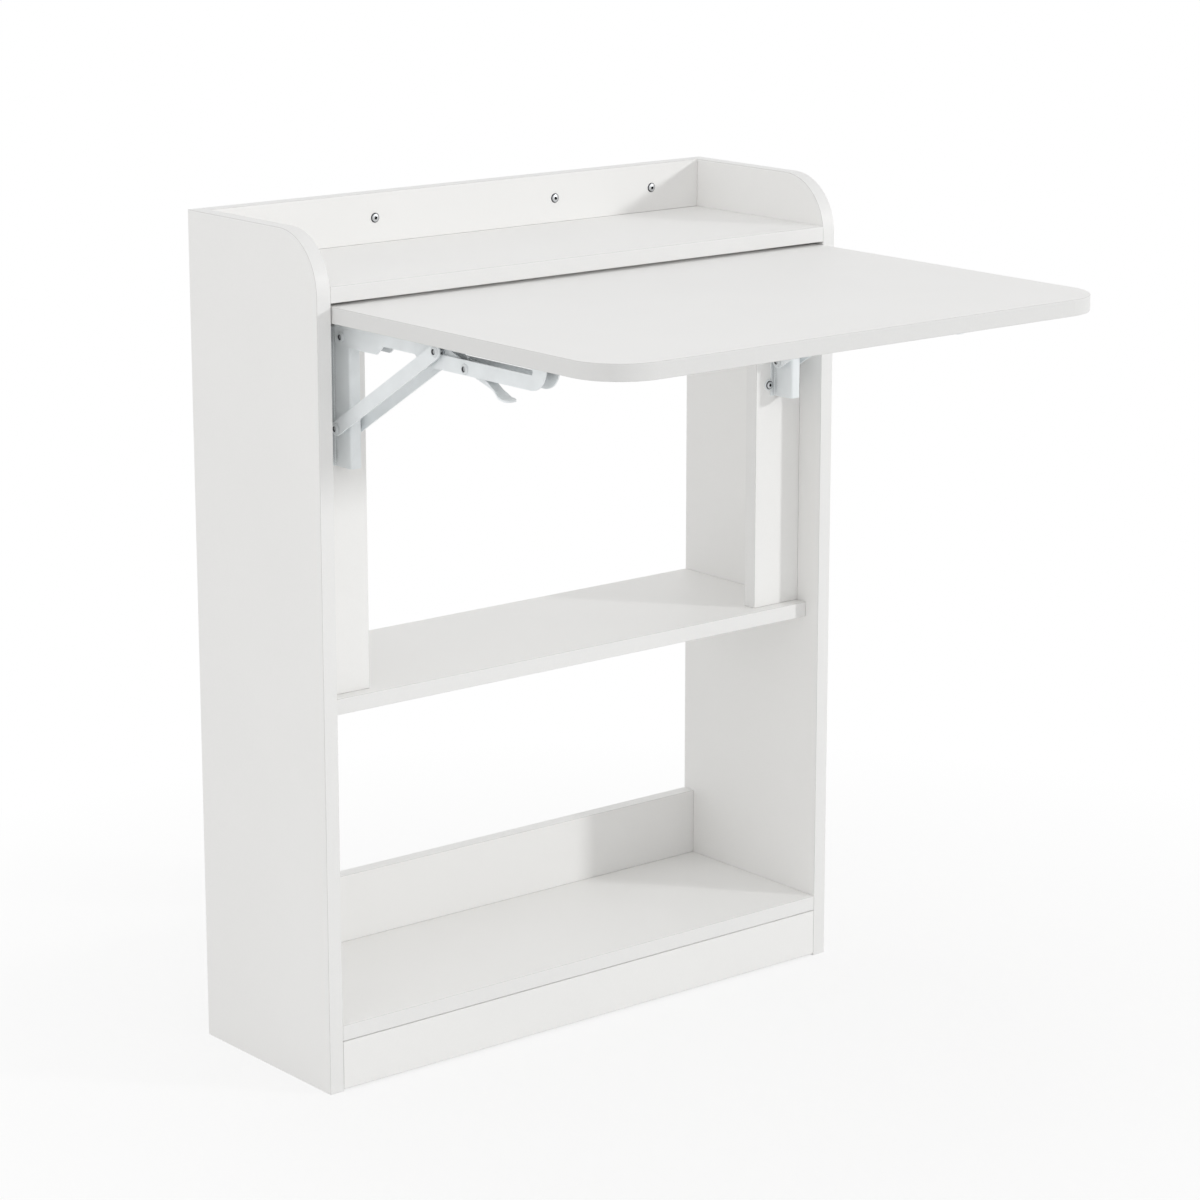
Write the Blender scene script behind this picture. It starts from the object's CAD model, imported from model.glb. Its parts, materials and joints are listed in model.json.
import json
import math

import bpy
from mathutils import Euler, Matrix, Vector


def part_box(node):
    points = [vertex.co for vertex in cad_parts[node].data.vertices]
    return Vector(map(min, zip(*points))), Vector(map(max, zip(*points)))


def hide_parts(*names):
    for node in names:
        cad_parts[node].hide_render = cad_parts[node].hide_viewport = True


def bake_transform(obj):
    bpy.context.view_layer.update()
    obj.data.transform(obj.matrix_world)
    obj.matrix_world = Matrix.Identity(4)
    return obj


# Folding desk in white melamine board, with a drop leaf on two white folding brackets.
# Metres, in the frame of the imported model: +Z up, the open leaf reaching towards -Y.

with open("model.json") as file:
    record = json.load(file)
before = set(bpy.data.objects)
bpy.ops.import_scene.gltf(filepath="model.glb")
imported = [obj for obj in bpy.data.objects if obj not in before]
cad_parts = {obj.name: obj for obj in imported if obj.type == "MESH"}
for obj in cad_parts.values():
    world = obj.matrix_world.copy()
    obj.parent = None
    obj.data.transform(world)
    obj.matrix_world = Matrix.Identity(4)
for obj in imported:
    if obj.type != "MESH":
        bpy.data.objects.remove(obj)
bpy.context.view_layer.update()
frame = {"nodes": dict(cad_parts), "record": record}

SIDES = ("left", "right")

# Wound springs
WIRE_RADIUS = 0.00045
WIRE_SIDES = 10
SPRING_TURNS = 5.25
STEPS_A_TURN = 24
SMOOTH_UP_TO = math.radians(40)

# Finishes, as linear colours
WHITE = (1, 1, 1, 1)
BOARD_WHITE = (0.945, 0.94, 0.927, 1)
BAND_WHITE = (0.895, 0.892, 0.882, 1)
LEAF_WHITE = (0.917, 0.912, 0.9, 1)
LEAF_BAND_WHITE = (0.80, 0.798, 0.788, 1)
SEAM_GREY = (0.44, 0.43, 0.41, 1)
POWDER_WHITE = (0.92, 0.955, 0.97, 1)
RIVET_WHITE = (0.78, 0.81, 0.825, 1)
ZINC_GREY = (0.66, 0.675, 0.69, 1)
RIM_GREY = (0.06, 0.062, 0.068, 1)
WIRE_GREY = (0.62, 0.635, 0.65, 1)
BEECH_LIGHT = (0.68, 0.50, 0.32, 1)
BEECH_DARK = (0.52, 0.35, 0.20, 1)
RECESS_DARK = (0.035, 0.036, 0.04, 1)
FLOOR_WHITE = (0.96, 0.96, 0.955, 1)

# How much of its colour a finish keeps in its darker patches
COAT_PATCHES = 0.94
STEEL_PATCHES = 0.82
FLOOR_PATCHES = 0.985

# Patterns of the finishes: lumps to the metre, and levels of finer detail
BOARD_PEARL = (700.0, 3.0)
BOARD_CLOUDS = (9.0, 2.0)
COAT_PEEL = (1100.0, 2.0)
COAT_CLOUDS = (40.0, 2.0)
STEEL_MARKS = (2600.0, 2.0)
FLOOR_GRAIN = (30.0, 2.0)

# Beech flecks: lumps to the metre along and across the grain, in a pattern of its own detail
BEECH_STRETCH = (60.0, 700.0, 700.0)
BEECH_FLECKS = (1.0, 4.0)

# Ranges of values: a share, and the parts of a cloudy pattern that are used
SHARE = (0.0, 1.0)
BROAD_PART = (0.3, 0.7)
NARROW_PART = (0.35, 0.65)

# Banding, seams and rims, by how squarely a spot faces along the piece's axis
BAND_FACING = (0.8, 0.7)
SEAM_START_FACING = (0.55, 0.75)
SEAM_END_FACING = (0.97, 0.85)
SEAM_STRENGTH = 0.6
RIM_FACING = (0.93, 0.85)

# Tone of the board's pearl and clouds, roughness from fine to coarse, and gloss
PEARL_TONE = (0.985, 1.0)
CLOUD_TONE = (-0.006, 0.006)
BOARD_ROUGHNESS = (0.40, 0.50)
BOARD_GLOSS = 0.35
COAT_ROUGHNESS = (0.28, 0.40)
COAT_GLOSS = 0.5
ZINC_ROUGHNESS = (0.30, 0.44)
WIRE_ROUGHNESS = (0.25, 0.39)
BEECH_ROUGHNESS = (0.55, 0.70)
FLOOR_ROUGHNESS = 0.9

# Fine relief: strength, and depth in metres
BOARD_RELIEF = (0.12, 0.00012)
COAT_RELIEF = (0.15, 0.0001)
STEEL_RELIEF = (0.08, 0.00005)
BEECH_RELIEF = (0.2, 0.0002)

# Recesses: reach in metres, and how open a spot is where the dark begins and where it is full
COAT_RECESS = (0.016, 0.75, 0.2)
RIVET_RECESS = (0.004, 0.95, 0.5)
STEEL_RECESS = (0.003, 0.75, 0.3)
RECESS_SAMPLES = 8

# Camera: metres, degrees, and millimetres for the lens and its sensor
CAMERA_PLACE = (-2.1105, -2.5036, 1.2591)
CAMERA_TURN = 39.282
CAMERA_TILT = 13.105
CAMERA_LENS = 109.0
CAMERA_SENSOR = 36.0
CAMERA_DROP = -0.05

# Lamps and surroundings: metres and watts
DESK_MIDDLE = Vector((0, 0.1, 0.4))
KEY_FROM = Vector((0.825, -1.0, 0.41))
KEY_DISTANCE = 8.0
KEY_WIDTH = 0.6
KEY_POWER = 168.0
KEY_COLOUR = (0.98, 0.985, 0.99)
FILL_FROM = Vector((-1.0, -0.4, 0.7))
FILL_DISTANCE = 2.2
FILL_WIDTH = 1.8
FILL_POWER = 5.5
OVERHEAD_FROM = Vector((0.1, -0.8, 1.0))
OVERHEAD_DISTANCE = 3.5
OVERHEAD_WIDTH = 2.5
OVERHEAD_POWER = 6.0
LAMP_WHITE = (1, 1, 1)
FRONT_TO_BACK = (-1.0, 1.0)
SURROUND_LEVELS = (0.46, 0.91)
FLOOR_WIDTH = 14.0
FLOOR_FADE_RUN = (0.35, 1.05)
FLOOR_FADE_SHARES = (0.72, 1.0)


# Node helpers


def finish_named(name):
    """A new node material with its shader and the piece's own coordinates."""
    finish = bpy.data.materials.new(name)
    finish.use_nodes = True
    tree = finish.node_tree
    shader = tree.nodes["Principled BSDF"]
    place = tree.nodes.new("ShaderNodeTexCoord")
    return finish, tree, shader, place


def noise(tree, place, pattern):
    """Cloudy variation with about so many lumps to the metre, and so many levels of detail."""
    scale, detail = pattern
    node = tree.nodes.new("ShaderNodeTexNoise")
    node.inputs["Scale"].default_value = scale
    node.inputs["Detail"].default_value = detail
    tree.links.new(place, node.inputs["Vector"])
    return node.outputs["Fac"]


def spread(tree, value, before, after):
    """One range of values carried over to another."""
    node = tree.nodes.new("ShaderNodeMapRange")
    node.inputs["From Min"].default_value = before[0]
    node.inputs["From Max"].default_value = before[1]
    node.inputs["To Min"].default_value = after[0]
    node.inputs["To Max"].default_value = after[1]
    tree.links.new(value, node.inputs["Value"])
    return node.outputs["Result"]


def reckon(tree, operation, first, second=None):
    """One step of arithmetic on values."""
    node = tree.nodes.new("ShaderNodeMath")
    node.operation = operation
    for number, value in enumerate((first, second)):
        if value is None:
            continue
        if isinstance(value, (int, float)):
            node.inputs[number].default_value = value
        else:
            tree.links.new(value, node.inputs[number])
    return node.outputs["Value"]


def blended(tree, share, first, second, manner="MIX"):
    """Two colours mixed by a share; the node takes the share in socket 0 and the colours in 6 and 7."""
    node = tree.nodes.new("ShaderNodeMix")
    node.data_type = "RGBA"
    node.blend_type = manner
    for socket, value in ((node.inputs[0], share), (node.inputs[6], first), (node.inputs[7], second)):
        if isinstance(value, (int, float, tuple)):
            socket.default_value = value
        else:
            tree.links.new(value, socket)
    return node.outputs[2]


def darkened(colour, share):
    """A colour with only a share of its light."""
    return tuple(part * share for part in colour[:3]) + (1,)


def facing_share(tree, place, axis):
    """How squarely a spot faces along one of the piece's own axes, from 0 to 1."""
    parts = tree.nodes.new("ShaderNodeSeparateXYZ")
    tree.links.new(place.outputs["Normal"], parts.inputs[0])
    return reckon(tree, "ABSOLUTE", parts.outputs[axis])


def raised(tree, shader, height, relief):
    """Fine relief on the surface."""
    strength, depth = relief
    node = tree.nodes.new("ShaderNodeBump")
    node.inputs["Strength"].default_value = strength
    node.inputs["Distance"].default_value = depth
    tree.links.new(height, node.inputs["Height"])
    tree.links.new(node.outputs["Normal"], shader.inputs["Normal"])


def recess_share(tree, recess):
    """How far a spot is closed in by its own piece: 1 deep in a recess, 0 in the open."""
    reach, open_at, closed_at = recess
    node = tree.nodes.new("ShaderNodeAmbientOcclusion")
    node.samples = RECESS_SAMPLES
    node.only_local = True
    node.inputs["Distance"].default_value = reach
    return spread(tree, node.outputs["AO"], (open_at, closed_at), SHARE)


def seen_directly(tree):
    """1 for what the camera sees straight, in a reflection or through glass, and 0 for light on the desk."""
    path = tree.nodes.new("ShaderNodeLightPath")
    seen = reckon(tree, "MAXIMUM", path.outputs["Is Camera Ray"], path.outputs["Is Glossy Ray"])
    return reckon(tree, "MAXIMUM", seen, path.outputs["Is Transmission Ray"])


# Finishes


def melamine_board(name, thin_axis, face_colour=BOARD_WHITE, band_colour=BAND_WHITE):
    """White melamine facing with a fine pearl, and edge banding along the board's thin sides."""
    finish, tree, shader, place = finish_named(name)
    spot = place.outputs["Object"]
    pearl = noise(tree, spot, BOARD_PEARL)
    cloud = noise(tree, spot, BOARD_CLOUDS)
    facing = facing_share(tree, place, thin_axis)
    band = spread(tree, facing, BAND_FACING, SHARE)
    seam_start = spread(tree, facing, SEAM_START_FACING, SHARE)
    seam_end = spread(tree, facing, SEAM_END_FACING, SHARE)
    seam = reckon(tree, "MULTIPLY", seam_start, seam_end)
    colour = blended(tree, band, face_colour, band_colour)
    colour = blended(tree, reckon(tree, "MULTIPLY", seam, SEAM_STRENGTH), colour, SEAM_GREY)
    fine = spread(tree, pearl, BROAD_PART, PEARL_TONE)
    broad = spread(tree, cloud, BROAD_PART, CLOUD_TONE)
    tone = reckon(tree, "ADD", fine, broad)
    shade = tree.nodes.new("ShaderNodeCombineColor")
    for channel in shade.inputs:
        tree.links.new(tone, channel)
    colour = blended(tree, 1.0, colour, shade.outputs[0], "MULTIPLY")
    tree.links.new(colour, shader.inputs["Base Color"])
    tree.links.new(spread(tree, pearl, BROAD_PART, BOARD_ROUGHNESS), shader.inputs["Roughness"])
    shader.inputs["Specular IOR Level"].default_value = BOARD_GLOSS
    raised(tree, shader, pearl, BOARD_RELIEF)
    return finish


def painted_steel(name, colour, recess):
    """White powder coat: a faint orange peel, thin and dark where the piece closes it in."""
    finish, tree, shader, place = finish_named(name)
    spot = place.outputs["Object"]
    peel = noise(tree, spot, COAT_PEEL)
    cloud = noise(tree, spot, COAT_CLOUDS)
    patches = spread(tree, cloud, NARROW_PART, SHARE)
    tone = blended(tree, patches, darkened(colour, COAT_PATCHES), colour)
    tone = blended(tree, recess_share(tree, recess), tone, RECESS_DARK)
    tree.links.new(tone, shader.inputs["Base Color"])
    tree.links.new(spread(tree, peel, BROAD_PART, COAT_ROUGHNESS), shader.inputs["Roughness"])
    shader.inputs["Specular IOR Level"].default_value = COAT_GLOSS
    raised(tree, shader, peel, COAT_RELIEF)
    return finish


def bare_steel(name, colour, roughness, rim_axis=None):
    """Plated steel with fine turning marks, dark in its recesses and round the rim of a screw's head."""
    finish, tree, shader, place = finish_named(name)
    spot = place.outputs["Object"]
    marks = noise(tree, spot, STEEL_MARKS)
    patches = spread(tree, marks, NARROW_PART, SHARE)
    tone = blended(tree, patches, darkened(colour, STEEL_PATCHES), colour)
    if rim_axis:
        rim = spread(tree, facing_share(tree, place, rim_axis), RIM_FACING, SHARE)
        tone = blended(tree, rim, tone, RIM_GREY)
    tone = blended(tree, recess_share(tree, STEEL_RECESS), tone, RECESS_DARK)
    tree.links.new(tone, shader.inputs["Base Color"])
    shader.inputs["Metallic"].default_value = 1.0
    tree.links.new(spread(tree, marks, BROAD_PART, roughness), shader.inputs["Roughness"])
    raised(tree, shader, marks, STEEL_RELIEF)
    return finish


def beech_wood(name):
    """Beech dowel rod with its flecks along the grain."""
    finish, tree, shader, place = finish_named(name)
    stretch = tree.nodes.new("ShaderNodeMapping")
    stretch.inputs["Scale"].default_value = BEECH_STRETCH
    tree.links.new(place.outputs["Object"], stretch.inputs["Vector"])
    grain = noise(tree, stretch.outputs["Vector"], BEECH_FLECKS)
    tone = blended(tree, spread(tree, grain, NARROW_PART, SHARE), BEECH_DARK, BEECH_LIGHT)
    tree.links.new(tone, shader.inputs["Base Color"])
    tree.links.new(spread(tree, grain, BROAD_PART, BEECH_ROUGHNESS), shader.inputs["Roughness"])
    raised(tree, shader, grain, BEECH_RELIEF)
    return finish


def give_finish(node, finish):
    """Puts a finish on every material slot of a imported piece."""
    piece = frame["nodes"][node]
    if not piece.material_slots:
        piece.data.materials.append(finish)
    for entry in piece.material_slots:
        entry.material = finish


def dress_packed_pieces():
    """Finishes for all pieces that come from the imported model."""
    rails_and_posts = melamine_board("melamine_rails_and_posts", "Y")
    screws = bare_steel("zinc_screw_heads", ZINC_GREY, ZINC_ROUGHNESS, "Y")
    by_start = {
        "side_panel": melamine_board("melamine_side_panels", "X"),
        "bracket_post": rails_and_posts,
        "plinth": rails_and_posts,
        "lower_back_rail": rails_and_posts,
        "upper_back_rail": rails_and_posts,
        "desk_top": melamine_board("melamine_leaf", "Z", LEAF_WHITE, LEAF_BAND_WHITE),
        "wall_screws": screws,
        "leg_screws": screws,
    }
    by_slot = {
        "white_board": melamine_board("melamine_shelves", "Z"),
        "white_steel": painted_steel("white_powder_coat", POWDER_WHITE, COAT_RECESS),
        "white_rivet": painted_steel("white_rivet_paint", RIVET_WHITE, RIVET_RECESS),
        "zinc_steel": bare_steel("zinc_plate", ZINC_GREY, ZINC_ROUGHNESS),
        "spring_steel": bare_steel("drawn_wire", WIRE_GREY, WIRE_ROUGHNESS),
        "beech": beech_wood("beech"),
    }
    for part in frame["record"]["subparts"]:
        finish = by_slot[part["material_slot"]]
        for start, special in by_start.items():
            if part["node"].startswith(start):
                finish = special
        give_finish(part["node"], finish)
    return by_slot


# Wound springs


def lead_out(wire, first, reach):
    """Draws one end of the wire out into a straight, closed leg; first is the end ring's first point."""
    bpy.ops.object.mode_set(mode="EDIT")
    bpy.ops.mesh.select_mode(type="VERT")
    bpy.ops.mesh.select_all(action="DESELECT")
    bpy.ops.object.mode_set(mode="OBJECT")
    for number in range(first, first + WIRE_SIDES):
        wire.data.vertices[number].select = True
    bpy.ops.object.mode_set(mode="EDIT")
    bpy.ops.mesh.extrude_region_move(TRANSFORM_OT_translate={"value": reach})
    bpy.ops.mesh.edge_face_add()
    bpy.ops.object.mode_set(mode="OBJECT")


def wound_spring(side, finish):
    """The torsion spring round a lever's rivet: one leg up to the arm, one that turns with the lever."""
    node = f"lever_spring_{side}"
    low, high = (Vector(corner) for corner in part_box(node))
    rivet_low, rivet_high = (Vector(corner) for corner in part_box(f"lever_rivet_{side}"))
    axis = (rivet_low + rivet_high) / 2
    middle_radius = high.y - axis.y - WIRE_RADIUS
    length = high.x - low.x - WIRE_RADIUS * 2
    bpy.ops.object.select_all(action="DESELECT")
    bpy.ops.mesh.primitive_circle_add(vertices=WIRE_SIDES, radius=WIRE_RADIUS, location=axis)
    wire = bpy.context.object
    wire.name = f"wound_spring_{side}"
    bpy.ops.object.mode_set(mode="EDIT")
    bpy.ops.mesh.select_all(action="SELECT")
    bpy.ops.transform.translate(value=(length / -2, middle_radius, 0))
    bpy.ops.object.mode_set(mode="OBJECT")
    winding = wire.modifiers.new("winding", "SCREW")
    winding.axis = "X"
    winding.angle = -math.tau * SPRING_TURNS
    winding.screw_offset = length
    winding.steps = round(SPRING_TURNS * STEPS_A_TURN)
    winding.render_steps = winding.steps
    bpy.ops.object.modifier_apply(modifier=winding.name)
    last_ring = len(wire.data.vertices) - WIRE_SIDES
    lead_out(wire, last_ring, (0, low.y - axis.y, 0))
    lead_out(wire, 0, (0, 0, high.z - axis.z))
    bpy.ops.object.mode_set(mode="EDIT")
    bpy.ops.mesh.select_all(action="SELECT")
    bpy.ops.mesh.normals_make_consistent(inside=False)
    bpy.ops.object.mode_set(mode="OBJECT")
    bpy.ops.object.shade_smooth_by_angle(angle=SMOOTH_UP_TO)
    bpy.ops.object.transform_apply(location=True, rotation=True, scale=True)
    wire.data.materials.append(finish)
    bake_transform(wire)
    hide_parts(node)


# Surroundings


def pale_floor():
    """A plain pale floor that keeps the desk's shadow and fades to white further out."""
    bpy.ops.object.select_all(action="DESELECT")
    bpy.ops.mesh.primitive_plane_add(size=FLOOR_WIDTH, location=(0, 0, 0))
    floor = bpy.context.object
    floor.name = "floor"
    finish, tree, shader, place = finish_named("pale_floor")
    grain = noise(tree, place.outputs["Object"], FLOOR_GRAIN)
    shader.inputs["Roughness"].default_value = FLOOR_ROUGHNESS
    shader.inputs["Specular IOR Level"].default_value = 0.0
    tone = blended(tree, grain, FLOOR_WHITE, darkened(FLOOR_WHITE, FLOOR_PATCHES))
    tree.links.new(tone, shader.inputs["Base Color"])
    distance = tree.nodes.new("ShaderNodeVectorMath")
    distance.operation = "LENGTH"
    tree.links.new(place.outputs["Object"], distance.inputs[0])
    far = spread(tree, distance.outputs["Value"], FLOOR_FADE_RUN, FLOOR_FADE_SHARES)
    white = tree.nodes.new("ShaderNodeEmission")
    white.inputs["Strength"].default_value = 1.0
    mixer = tree.nodes.new("ShaderNodeMixShader")
    tree.links.new(reckon(tree, "MULTIPLY", far, seen_directly(tree)), mixer.inputs[0])
    tree.links.new(shader.outputs[0], mixer.inputs[1])
    tree.links.new(white.outputs[0], mixer.inputs[2])
    tree.links.new(mixer.outputs[0], tree.nodes["Material Output"].inputs["Surface"])
    floor.data.materials.append(finish)


def white_surroundings():
    """Soft light from all round, stronger from behind the desk, and seen as white."""
    world = bpy.data.worlds.new("surroundings")
    world.use_nodes = True
    bpy.context.scene.world = world
    tree = world.node_tree
    ground = tree.nodes["Background"]
    ground.inputs["Color"].default_value = WHITE
    place = tree.nodes.new("ShaderNodeTexCoord")
    parts = tree.nodes.new("ShaderNodeSeparateXYZ")
    tree.links.new(place.outputs["Generated"], parts.inputs[0])
    level = spread(tree, parts.outputs["Y"], FRONT_TO_BACK, SURROUND_LEVELS)
    tree.links.new(reckon(tree, "MAXIMUM", seen_directly(tree), level), ground.inputs["Strength"])


def lamp(name, toward, distance, width, power, colour):
    """A square studio lamp that points at the middle of the desk."""
    light = bpy.data.lights.new(name, "AREA")
    light.size = width
    light.energy = power
    light.color = colour
    holder = bpy.data.objects.new(name, light)
    direction = toward.normalized()
    holder.location = DESK_MIDDLE + direction * distance
    holder.rotation_euler = direction.to_track_quat("Z", "Y").to_euler()
    bpy.context.scene.collection.objects.link(holder)


def photo_camera():
    """The camera at the photograph's viewing angle."""
    lens = bpy.data.cameras.new("camera")
    lens.lens = CAMERA_LENS
    lens.sensor_width = CAMERA_SENSOR
    lens.shift_y = CAMERA_DROP
    holder = bpy.data.objects.new("camera", lens)
    holder.location = CAMERA_PLACE
    holder.rotation_euler = Euler((math.radians(90 - CAMERA_TILT), 0, -math.radians(CAMERA_TURN)))
    bpy.context.scene.collection.objects.link(holder)
    bpy.context.scene.camera = holder


finishes = dress_packed_pieces()
for side in SIDES:
    wound_spring(side, finishes["spring_steel"])
pale_floor()
white_surroundings()
lamp("key_lamp", KEY_FROM, KEY_DISTANCE, KEY_WIDTH, KEY_POWER, KEY_COLOUR)
lamp("fill_lamp", FILL_FROM, FILL_DISTANCE, FILL_WIDTH, FILL_POWER, LAMP_WHITE)
lamp("overhead_lamp", OVERHEAD_FROM, OVERHEAD_DISTANCE, OVERHEAD_WIDTH, OVERHEAD_POWER, LAMP_WHITE)
photo_camera()
bpy.context.scene.view_settings.view_transform = "Standard"
